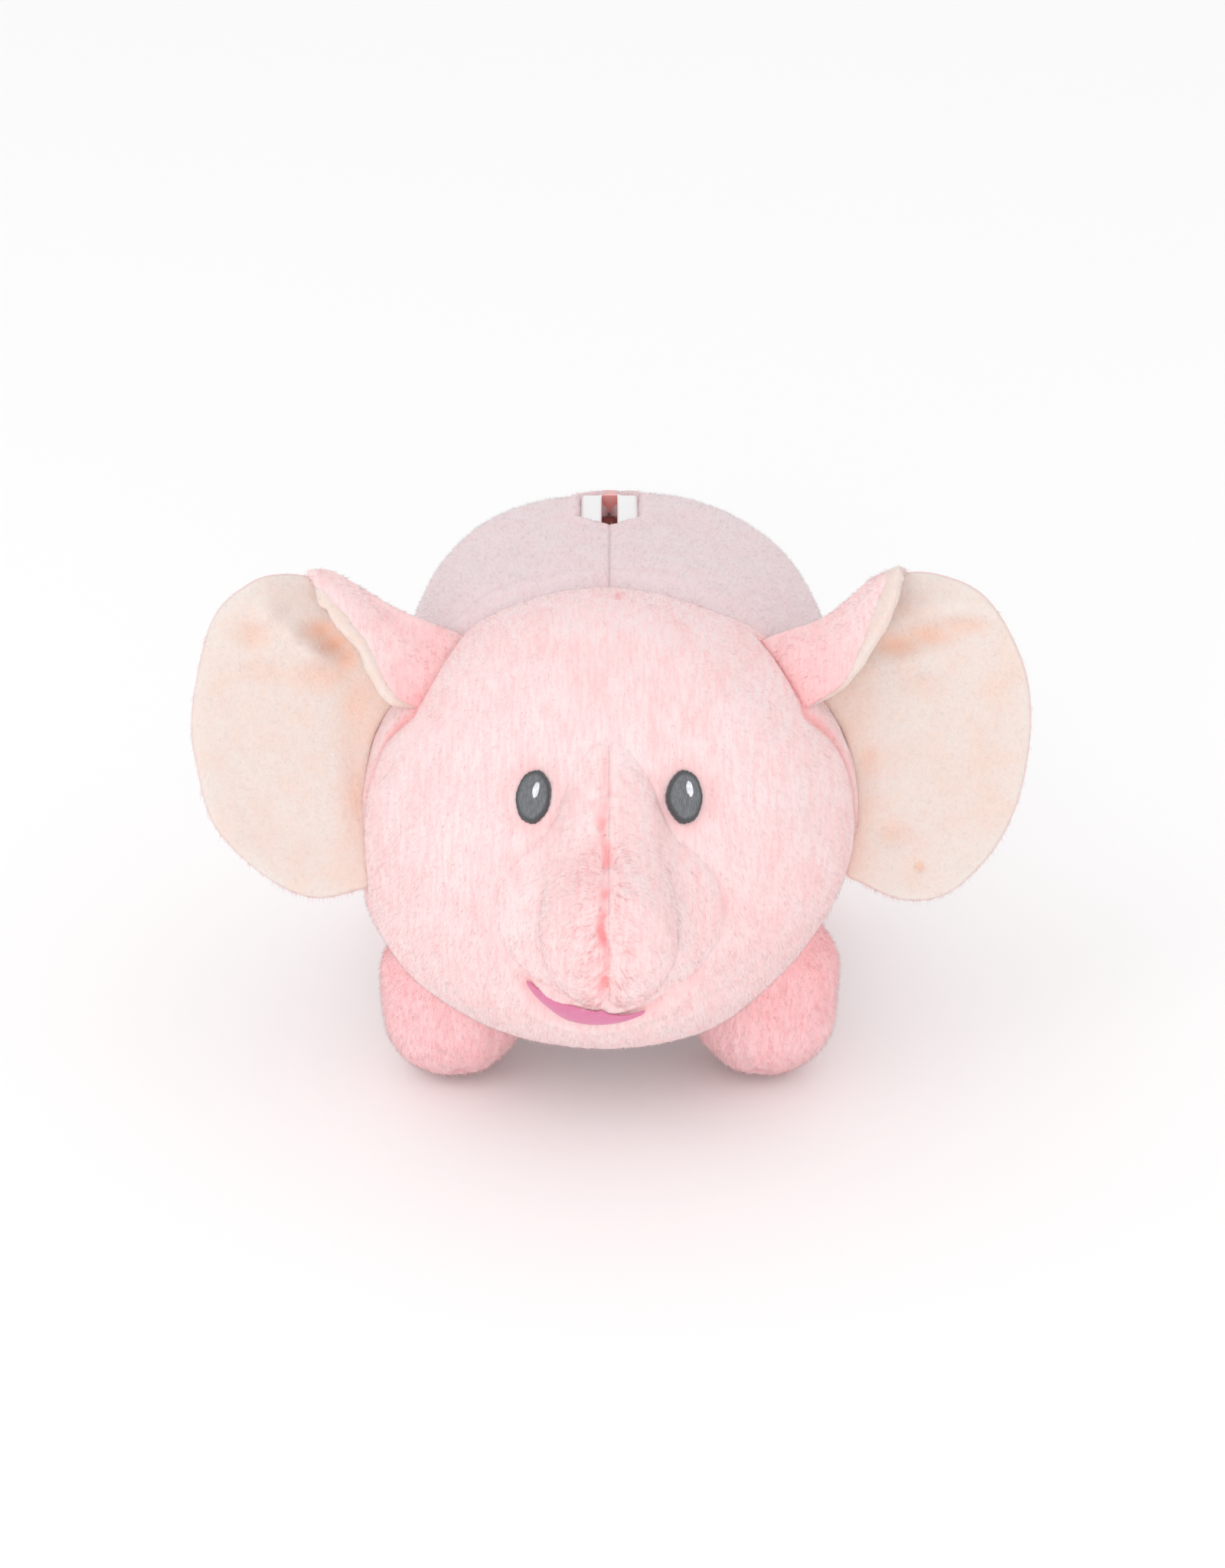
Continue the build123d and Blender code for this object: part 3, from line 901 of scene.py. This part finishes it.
# Hollows and ridges: middle u and v, widths, depth, and the painted shade in each hollow.
EAR_HOLLOWS = {
    -1: [(82, 53.5, 5, 3.5, 1.8, 0.9), (78.5, 50, 5, 3.5, 2, 1), (75, 45.5, 4, 5, 1.4, 0.85),
         (72, 33, 5, 9, 0.6, 0.55), (97, 58, 4, 3.5, -2.6, 0),
         (91, 52.5, 4, 3.5, -3, 0), (85, 46.5, 5, 3.5, -2.8, 0), (101, 52.5, 5, 4, 1.6, 0.45),
         (82, 40.5, 13, 5, 1, 0.48), (97, 41, 9, 4, 0.8, 0.30), (72, 6, 4, 14, 1.5, 0.50),
         (100, -4, 11, 7, 0.8, 0.16)],
    1: [(82, 49.5, 7, 3.6, 1.8, 0.80), (91, 52.3, 8, 3, 2, 0.72), (101, 55, 7, 2.8, 1.4, 0.5),
        (93, 60, 10, 4, -2.2, 0), (90, 44.5, 10, 4, -1.4, 0), (89, 38, 10, 3, 0.8, 0.12),
        (110, 37, 5, 7, 0.8, 0.30), (73.6, 17, 4, 6, 1.2, 0.45), (81, -4, 5, 4, 1.6, 0.42),
        (88.8, -14, 1.5, 1.5, 1.4, 0.75)],
}


def ear_depth(side, u, v):
    """Height of the ear's front surface, and its peach tone, with painted shade near the head and
    in the hollows.
    """
    height = ((u - EAR_MIDDLE[0]) ** 2 + (v - EAR_MIDDLE[1]) ** 2) / (2 * EAR_CUP_RADIUS)
    flat = beside(u, v, np.full_like(u, 7 * side))
    height += 1.1 * fractal(flat / 24, 200 + side, 2)
    edge = line_distance(flat * [1, 1, 0], np.array(FLAP_TOPS[side]) * [1, 1, 0])
    height -= 8 * bell(edge, 12)
    tone = 0.04 + 0.14 * clamp(fractal(flat / 15, 230 + side, 2))
    # Painted shade towards the root by the head.
    tone += 0.30 * ramp(82, 66, u)
    # Each hollow's colour is painted shade in it.
    for cu, cv, wu, wv, depth, colour in EAR_HOLLOWS[side]:
        spot = np.exp(-((u - cu) / wu) ** 2 - ((v - cv) / wv) ** 2)
        height -= depth * spot
        tone = np.maximum(tone, colour * spot)
    return height, clamp(tone)

def fan(share, rim):
    """A value for the middle of a disc, and then for each point of its rings."""
    return np.concatenate([[0], np.outer(share, rim).ravel()])


def disc_grid(outline, grow):
    """Points of a filled outline as rings round its middle, with their share of the way out."""
    curve = spline(outline, 720, closed=True) - EAR_MIDDLE
    angle = np.arctan2(curve[:, 1], curve[:, 0])
    order = np.argsort(angle)
    target = np.linspace(-math.pi, math.pi, EAR_SPOKES, endpoint=False)
    radius = np.interp(target, angle[order], np.hypot(*curve[order].T), period=2 * math.pi) + grow
    share = np.linspace(0, 1, EAR_RINGS + 1)[1:] ** 0.85
    u = EAR_MIDDLE[0] + fan(share, radius * np.cos(target))
    v = EAR_MIDDLE[1] + fan(share, radius * np.sin(target))
    return u, v, fan(share, np.ones(EAR_SPOKES))


def outward(points, faces):
    """A closed mesh with every face turned the right way round."""
    a, b, c = (points[faces[:, k]] for k in range(3))
    volume = (a * np.cross(b, c)).sum()
    return points, faces if volume > 0 else faces[:, ::-1]


def halved(*corners):
    """Two triangles for each four-sided face, from arrays of its corners in order."""
    a, b, c, d = (k.ravel() for k in corners)
    return np.vstack([beside(a, b, c), beside(a, c, d)])


def closed_disc(front, back, rings, spokes):
    """Two matching discs joined round the rim, as triangles."""
    ring = np.arange(rings - 1)[:, None] * spokes + 1
    spoke = np.arange(spokes)
    after = (spoke + 1) % spokes
    faces = halved(ring + spoke, ring + spokes + spoke, ring + spokes + after, ring + after)
    faces = np.vstack([beside(0 * spoke, 1 + spoke, 1 + after), faces])
    n = len(front)
    rim, rim_after = n - spokes + spoke, n - spokes + after
    sides = halved(rim, rim + n, rim_after + n, rim_after)
    return outward(np.vstack([front, back]), np.vstack([faces, faces[:, ::-1] + n, sides]))


def closed_patch(middle, thickness):
    """A padded sheet round a grid of points, thin at its border, as triangles."""
    rows, columns = middle.shape[:2]
    normal = unit(np.cross(np.gradient(middle, axis=0), np.gradient(middle, axis=1)))
    s = np.linspace(-1, 1, rows)[:, None]
    t = np.linspace(-1, 1, columns)[None]
    swell = np.sqrt(np.clip(1 - s ** 10, 0.01, 1) * np.clip(1 - t ** 10, 0.01, 1))
    pad = normal * (thickness * 0.5 * swell)[..., None]
    n = rows * columns
    k = np.arange(n).reshape(rows, columns)
    faces = halved(k[:-1, :-1], k[1:, :-1], k[1:, 1:], k[:-1, 1:])
    border = np.concatenate([k[0, :-1], k[:-1, -1], k[-1, :0:-1], k[:0:-1, 0]])
    after = np.roll(border, -1)
    sides = halved(border, after, after + n, border + n)
    points = np.vstack([(middle + pad).reshape(-1, 3), (middle - pad).reshape(-1, 3)])
    return outward(points, np.vstack([faces, faces[:, ::-1] + n, sides]))


def join(first, second):
    return np.vstack([first[0], second[0]]), np.vstack([first[1], second[1] + len(first[0])])


def flap_grid(side, drop, over):
    """The part of the ear that is folded forward: from its top edge to past its free edge."""
    rows, columns = EAR_ROWS, EAR_COLUMNS
    top = spline(FLAP_TOPS[side], rows)
    edge = spline(FLAP_EDGES[side], rows)
    t = np.linspace(0, 1, columns)[None, :, None]
    s = np.linspace(0, 1, rows)[:, None, None]
    gap = np.maximum(np.linalg.norm(edge - top, axis=1), 6)[:, None, None]
    swell = (0.6 + 0.4 * ramp(0, 0.25, s)) * (1 - 0.8 * ramp(0.5, 1, s))
    reach = (1 + over * swell / gap) * (1 - 0.16 * ramp(0.80, 1, s))
    grid = top[:, None] * (1 - t * reach) + edge[:, None] * (t * reach)
    crown = np.sin(math.pi * clamp(t)) * (1 + 3.5 * s * (1 - 0.4 * s))
    grid += crown * vec(0.2, 0.25, 1)
    grid[..., 2] -= drop
    waves = fractal(grid.reshape(-1, 3) / 8, 300 + side, 2).reshape(rows, columns)
    grid[..., 2] += 1.2 * waves * clamp(s[..., 0] * 3)
    grid[..., 0] += 0.8 * waves * t[..., 0]
    return grid


def hem_grid(side, flap, columns):
    """The turn of cloth that joins the back of the ear to the top edge of its folded part."""
    top = flap[:, 0]
    inward = unit(vec(EAR_MIDDLE[0], EAR_MIDDLE[1] + 14) - top[:, :2])
    foot = top[:, :2] + 3 * inward
    depth, _ = ear_depth(side, foot[:, 0], foot[:, 1])
    root = np.column_stack([foot, np.minimum(depth - 4.5, top[:, 2] - 1)])
    t = np.linspace(0, 1, columns, endpoint=False)[None, :, None]
    grid = root[:, None] * (1 - t) + top[:, None] * t
    swell = 1.2 * np.sin(math.pi * t)
    return grid - swell * np.column_stack([inward, np.zeros(len(top))])[:, None]


def sew(piece):
    """Bakes the piece's placement into its mesh."""
    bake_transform(piece)


def velour_sheets(height, puff, rough, share):
    return height - 2.2 + (2.2 + 0.10 * rough) * puff, height - 2.5


def plush_sheets(height, puff, rough, share):
    front = height - 2.6 + 0.7 * ramp(0.9, 1, share) * puff
    return front, height - 2.8 - (3 + 0.5 * rough) * puff


def ear_disc(side, grow, roundness, grain, seed, sheets):
    """One cloth layer of the ear, from its front and back heights, and the tone of one face."""
    u, v, share = disc_grid(EAR_OUTLINES[side], grow)
    height, tone = ear_depth(side, u, v)
    puff = np.sqrt(clamp(1 - share ** roundness))
    rough = fractal(beside(u / grain, v / grain, u * 0), seed + side, 2)
    front, back = (to_row(side, beside(u, v, h))
                   for h in sheets(height, puff, rough, share))
    return closed_disc(front, back, EAR_RINGS, EAR_SPOKES), tone


def make_ear(side, name):
    body = "ear_" + name
    disc, tone = ear_disc(side, 0, 7, 1.6, 240, velour_sheets)
    lining_grid = to_row(side, flap_grid(side, 2, 5.4 - 0.8 * side))
    lining = closed_patch(lining_grid[:, EAR_COLUMNS // 6:], 3.8)
    tones = np.concatenate([tone, tone, np.full(len(lining[0]), 0.12)])
    inner = make_mesh(body + "_inner_velour", *join(disc, lining), tone=tones)
    stand_for(inner, velour_cream, None, [body + "_inner"])

    disc, tone = ear_disc(side, 0.3, 9, 14, 260, plush_sheets)
    folded = flap_grid(side, 0, 0)
    hem = hem_grid(side, folded, EAR_COLUMNS // 4)
    flap = closed_patch(to_row(side, np.concatenate([hem, folded], 1)), 3.2)
    s, t = np.linspace(0, 1, EAR_ROWS)[:, None], np.linspace(0, 1, EAR_COLUMNS)
    # Painted shade on the flap: deeper towards its end by the head and into the crease there.
    flap_shade = 0.06 + 0.26 * ramp(0.60, 0.90, s) + 0.16 * ramp(0.35, 1, s * t)
    flap_shade = np.concatenate([np.full(hem.shape[:2], 0.10), flap_shade], 1).ravel()
    tones = np.concatenate([np.full(2 * len(tone), 0.15), flap_shade, flap_shade])
    outer = make_mesh(body + "_outer_plush", *join(disc, flap), tone=tones)
    stand_for(outer, plush_head, None, [body + "_outer"])

    def velour_flow(p):
        out = p - to_row(side, vec(*EAR_MIDDLE, 0))
        return unit(out) * 0.3 + vec(0, -0.2, -1)

    def front_only(p, normal):
        return ((normal @ NECK_NORMAL) > 0.05) & (head_field(p) > 0)

    def flap_shade_at(p):
        q = p - EAR_ORIGIN
        # Painted shade on the front of the flap near the head.
        return 0.1 + 0.55 * ramp(66, 50, side * q[:, 0]) * (q @ NECK_NORMAL > 5)

    def cream_tone_at(p):
        q = p - EAR_ORIGIN
        # The ear's tone, with its painted shade.
        return ear_depth(side, side * q[:, 0], q @ NECK_UP)[1] - 0.05

    pile = grow_fur(body + "_velour_pile", None, inner, "cream", 1.2, 1.1, 34,
                    velour_flow, width=0.06, seed=400 + side, keep=front_only,
                    depth=cream_tone_at)
    fur = grow_fur(body + "_fur", None, outer, "head", 1.2, 2.3, 14, velour_flow,
                   width=0.08, seed=420 + side, depth=flap_shade_at,
                   keep=lambda p, normal: head_field(p) > -0.5)
    for piece in [inner, outer] + pile + fur:
        sew(piece)


# ---- face

def face_patch(name, centre_x, centre_z, half_width, half_height, lift, dome, texture, rings=26,
               spokes=96, turn=0, bump=0):
    """A domed oval of thread that follows the head's skin."""
    centre = on_head(centre_x, centre_z)
    normal = unit(gradient(head_field, centre[None]))[0]
    right = unit(np.cross(UP, normal))
    right = right if right[0] > 0 else -right
    above = np.cross(normal, right)
    above = above if above[2] > 0 else -above
    share = np.linspace(0, 1, rings + 1)[1:]
    angle = np.linspace(0, 2 * math.pi, spokes, endpoint=False)
    ragged = 1 + 0.012 * np.sin(7 * angle + centre_x) + 0.01 * np.sin(23 * angle)
    ragged += bump * bell(angle - math.pi * 1.02, 0.35)
    a = fan(share, half_width * ragged * np.cos(angle))
    b = fan(share, half_height * ragged * np.sin(angle))
    r = fan(share, np.ones(spokes))
    a, b = (a * math.cos(turn) - b * math.sin(turn), a * math.sin(turn) + b * math.cos(turn))
    base = settle(head_field, centre + a[:, None] * right + b[:, None] * above, 4)
    normals = unit(gradient(head_field, base))
    height = lift + dome * np.sqrt(clamp(1 - r ** 4)) + texture(a, b, r)
    disc = closed_disc(base + normals * height[:, None], base - normals * 2, rings, spokes)
    return make_mesh(name, *disc, edge=np.concatenate([r, r]))


def thread_material(name, fill, ring):
    material, tree, shader = principled(name, 0.42, 0.2, (0.8, 0.85, 0.9), specular=0.5)
    threads = noise_output(tree, 1500, 2, (1, 1, 0.2))
    light = tuple(min(1, c * 1.35) for c in fill)
    base = mix_colours(tree, remap(tree, threads, 0.4, 0.62), fill, light)
    rim = remap(tree, attribute_output(tree, "edge"), 0.74, 0.86)
    paint(tree, shader, mix_colours(tree, rim, base, ring), threads, 0.5, 0.0003)
    return material


def make_eyes():
    grey = thread_material("thread_grey", (0.125, 0.13, 0.14), (0.055, 0.055, 0.06))
    white = thread_material("thread_white", (0.66, 0.66, 0.71), (0.55, 0.55, 0.60))

    def stitches(a, b, r):
        fill = 0.10 * np.sin(a * 9 + 0.8 * np.sin(b * 1.3))
        around = np.sin(np.arctan2(b, a) * 46)
        ring = 0.45 * bell(r - 0.9, 0.09) + 0.10 * around * bell(r - 0.9, 0.1)
        return np.where(r < 0.8, fill, 0) + ring

    def glint_stitches(a, b, r):
        return 0.08 * np.sin(a * 11)

    for side, name in ((1, "left"), (-1, "right")):
        lean = 0.07 if side < 0 else -0.19
        eye = face_patch(f"eye_{name}_thread", side * EYE_SPREAD, EYE_HEIGHT, EYE_HALF_WIDTH,
                         EYE_HALF_HEIGHT, 0, 0.9, stitches, 40, 160, turn=lean,
                         bump=0.10 if side > 0 else 0)
        glint = face_patch(f"eye_{name}_glint_thread", side * EYE_SPREAD + 1, EYE_HEIGHT + 1.5,
                           1, 2.35, 0.75, 0.40, glint_stitches, 16, 64, turn=-0.05)
        stand_for(eye, grey, "bank", [f"eye_{name}"])
        stand_for(glint, white, "bank", [f"eye_{name}_glint"])


def make_mouth():
    """A satin crescent between the muzzle and the lower lip."""
    rows, columns = 120, 24
    lower = spline([(-22.5, 65.2), (-20.2, 60.8), (-17.1, 56.8), (-12.9, 52.4), (-7.6, 50.3),
                    (-2.3, 50.2), (3, 51.5), (7.2, 53.7), (9.6, 55.4)], rows)
    upper = spline([(-22.3, 65.8), (-18.5, 62.5), (-14.5, 59.5), (-9, 57.5), (-4, 56),
                    (-2, 56.4), (0, 55), (3.4, 54.4), (6.6, 54.8), (9.7, 55.9)], rows)
    t = np.linspace(0, 1, columns)[None, :, None]
    flat = lower[:, None] * (1 - t) + upper[:, None] * t
    base = np.array([[on_head(x, z) for x, z in row] for row in flat])
    normal = unit(gradient(head_field, base.reshape(-1, 3))).reshape(base.shape)
    roll = 1 - 0.5 * (2 * t - 1) ** 2
    piece = make_mesh("mouth_satin", *closed_patch(base + normal * roll, 0.9))
    material, tree, shader = principled("satin_pink", 0.38, 0.3, (1, 0.7, 0.85), specular=0.5)
    weave = noise_output(tree, 1400, 2, (0.15, 1, 1))
    colour = mix_colours(tree, weave, (0.60, 0.15, 0.29), (0.68, 0.23, 0.38))
    paint(tree, shader, colour, weave, 0.3, 0.0003)
    stand_for(piece, material, "bank", ["mouth_lining"])


# ---- tail

TAIL_ROOT_RADIUS = 3.8


def make_tail():
    cord_low, cord_high = box_mm("tail_cord")
    tuft_low, tuft_high = box_mm("tail_tuft")
    y = (cord_low[1] + cord_high[1]) / 2
    rows, columns = 110, 36
    root_z = cord_high[2] - TAIL_ROOT_RADIUS
    path = spline([(y - 11, root_z), (y - 5, root_z), (y - 1.2, root_z - 0.8), (y, root_z - 6),
                   (y, root_z - 20), (y, cord_low[2] - 2)], rows)
    along = unit(np.gradient(path, axis=0))
    across = beside(along[:, 1], -along[:, 0])
    angle = np.linspace(0, 2 * math.pi, columns, endpoint=False)[None]
    radius = 3.2 * np.linspace(1, 0.88, rows)[:, None]
    points = np.stack([radius * np.cos(angle),
                       path[:, :1] + radius * np.sin(angle) * across[:, :1],
                       path[:, 1:] + radius * np.sin(angle) * across[:, 1:]], -1)
    k = np.arange(rows * columns).reshape(rows, columns)
    faces = halved(k[:-1], k[1:], np.roll(k[1:], -1, 1), np.roll(k[:-1], -1, 1))
    caps = np.array([[0, *path[0]], [0, *path[-1]]])
    n = rows * columns
    top = beside(np.full(columns, n), k[0], np.roll(k[0], -1))
    bottom = beside(np.full(columns, n + 1), np.roll(k[-1], -1), k[-1])
    points = np.vstack([points.reshape(-1, 3), caps])
    cord = make_mesh("tail_cord_plush", *outward(points, np.vstack([faces, top, bottom])),
                     tone=np.full(len(points), 0.2))

    centre = (tuft_low + tuft_high) / 2
    semi = (tuft_high - tuft_low) / 2 * 0.9
    directions, faces = quad_sphere(36)
    p = centre + directions * semi
    lumps = fractal(p / vec(1.6, 1.6, 6), 77, 3)
    p = p + directions * (0.5 * lumps)[:, None]
    # Painted shade in the dips between the lumps.
    tuft = make_mesh("tail_tuft_plush", p, faces, tone=clamp(0.25 - 0.3 * lumps))
    for piece, node in ((cord, "tail_cord"), (tuft, "tail_tuft")):
        stand_for(piece, plush_head, "tail", [node])
    grow_fur("tail_cord_fur", "tail", cord, "head", 2.6, 1.4, 14, FLOW_DOWN,
             width=0.06, seed=501, keep=lambda p, normal: (p[:, 1] > y - 2) & (normal[:, 1] > -0.3))
    grow_fur("tail_tuft_fur", "tail", tuft, "head", 6, 4, 14, FLOW_DOWN,
             width=0.1, seed=502)


# ---- plastic

SLIT_HALF_WIDTH = 2.35


def plastic_material(name, colour, roughness, marks):
    material, tree, shader = principled(name, roughness, specular=0.5)
    cloud = noise_output(tree, 60, 3)
    tint = mix_colours(tree, cloud, colour, tuple(c * 0.95 for c in colour))
    paint(tree, shader, tint, noise_output(tree, marks, 3), 0.08, 0.0002)
    return material


def finish_plastics():
    white = plastic_material("white_plastic", (0.86, 0.85, 0.86), 0.3, 900)
    shell = plastic_material("canister_plastic", (0.72, 0.60, 0.58), 0.4, 500)
    rubber = plastic_material("stopper_rubber", (0.70, 0.69, 0.68), 0.6, 1200)
    tree = white.node_tree
    # Painted shade inside the coin slit, tinted pink by the cloth.
    place = add_node(tree, "TexCoord", {}).outputs["Object"]
    across = add_node(tree, "SeparateXYZ", {"Vector": place}).outputs["X"]
    size = add_node(tree, "Math", {0: across}, operation="ABSOLUTE").outputs[0]
    inner = add_node(tree, "Math", {0: size, 1: SLIT_HALF_WIDTH * MM}, operation="LESS_THAN")
    base_colour = tree.nodes["Principled BSDF"].inputs["Base Color"]
    slit = mix_colours(tree, inner.outputs[0], base_colour.links[0].from_socket,
                       (0.85, 0.42, 0.40))
    tree.links.new(slit, base_colour)
    for node, material in (("coin_slot_insert", white), ("coin_canister", shell),
                           ("stopper", rubber)):
        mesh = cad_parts[node].data
        mesh.materials.clear()
        mesh.materials.append(material)


# ---- studio

FLOOR_HALF = 3000


def make_floor():
    corners = [(-FLOOR_HALF, -FLOOR_HALF, 0), (FLOOR_HALF, -FLOOR_HALF, 0),
               (FLOOR_HALF, FLOOR_HALF, 0), (-FLOOR_HALF, FLOOR_HALF, 0)]
    floor = make_mesh("floor", corners, [(0, 1, 2, 3)])
    material, _, shader = principled("floor_white", 0.9)
    shader.inputs["Base Color"].default_value = (0.96, 0.96, 0.96, 1)
    floor.data.materials.append(material)


def aim(name, data, place, target):
    """A light or a camera at a place, looking at a target."""
    made = bpy.data.objects.new(name, data)
    made.location = place
    made.rotation_mode = "QUATERNION"
    made.rotation_quaternion = (Vector(target) - Vector(place)).to_track_quat("-Z", "Y")
    show(made)
    return made


def area_light(name, place, size, power):
    data = bpy.data.lights.new(name, "AREA")
    data.shape = "DISK"
    data.size = size
    data.energy = power
    aim(name, data, place, (0, 0, 0.08))


def make_studio():
    world = bpy.data.worlds.new("studio")
    bpy.context.scene.world = world
    world.use_nodes = True
    background = world.node_tree.nodes["Background"]
    set_inputs(world.node_tree, background, {"Color": (1, 1, 1, 1), "Strength": 0.98})
    area_light("front", (-0.15, -1.7, 0.28), 1.3, 8.5)
    area_light("key", (-0.8, -1, 1.3), 0.9, 2.2)
    bpy.context.scene.view_settings.view_transform = "Standard"


def make_camera():
    """Straight ahead of the face, 25 degrees up and a metre away."""
    data = bpy.data.cameras.new("camera")
    data.sensor_width = 36
    data.lens = 79.1
    data.clip_start = 0.01
    elevation = math.radians(25)
    target = Vector((0.0009, -0.012, 0.091))
    place = target + Vector((0, -math.cos(elevation), math.sin(elevation)))
    bpy.context.scene.camera = aim("camera", data, place, target)


# ---- the whole elephant

make_camera()
make_studio()
make_floor()
finish_plastics()

head = make_head()
grow_fur("head_fur", "bank", head, "head", 1.3, 2, 22, flow_down_face, width=0.06,
         seed=1, keep=head_open, depth=lambda p: head_relief(p)[1] + 0.05)
for half in make_trunk():
    grow_fur(half.name.replace("plush", "fur"), "bank", half, "head", 1.1, 2.2, 14,
             flow_trunk, width=0.07, seed=31, keep=trunk_open, ruffle=0.4,
             depth=lambda p: trunk_relief(p)[1] + 0.05)
    grow_fur(half.name.replace("plush", "seam_fur"), "bank", half, "head", 1.3, 3.6, 6,
             flow_seam, width=0.08, seed=33, keep=near_seam, ruffle=0.7,
             depth=lambda p: 0.35 + 0.5 * bell(p[:, 0], 7))
for side, panel in make_body().items():
    grow_fur(panel.name.replace("plush", "fur"), "bank", panel, "body", 1, 1.5, 30,
             FLOW_BODY, width=0.05, seed=61 + side, keep=body_open,
             depth=lambda p: body_relief(p)[1] + 0.1)
for side, hand in ((1, "left"), (-1, "right")):
    for y, end in ((LEG_FRONT_Y, "front"), (LEG_REAR_Y, "rear")):
        make_leg(f"leg_{end}_{hand}", side, y, 700 + 10 * side + (5 if y > 0 else 0))
    make_ear(side, hand)
make_eyes()
make_mouth()
make_tail()
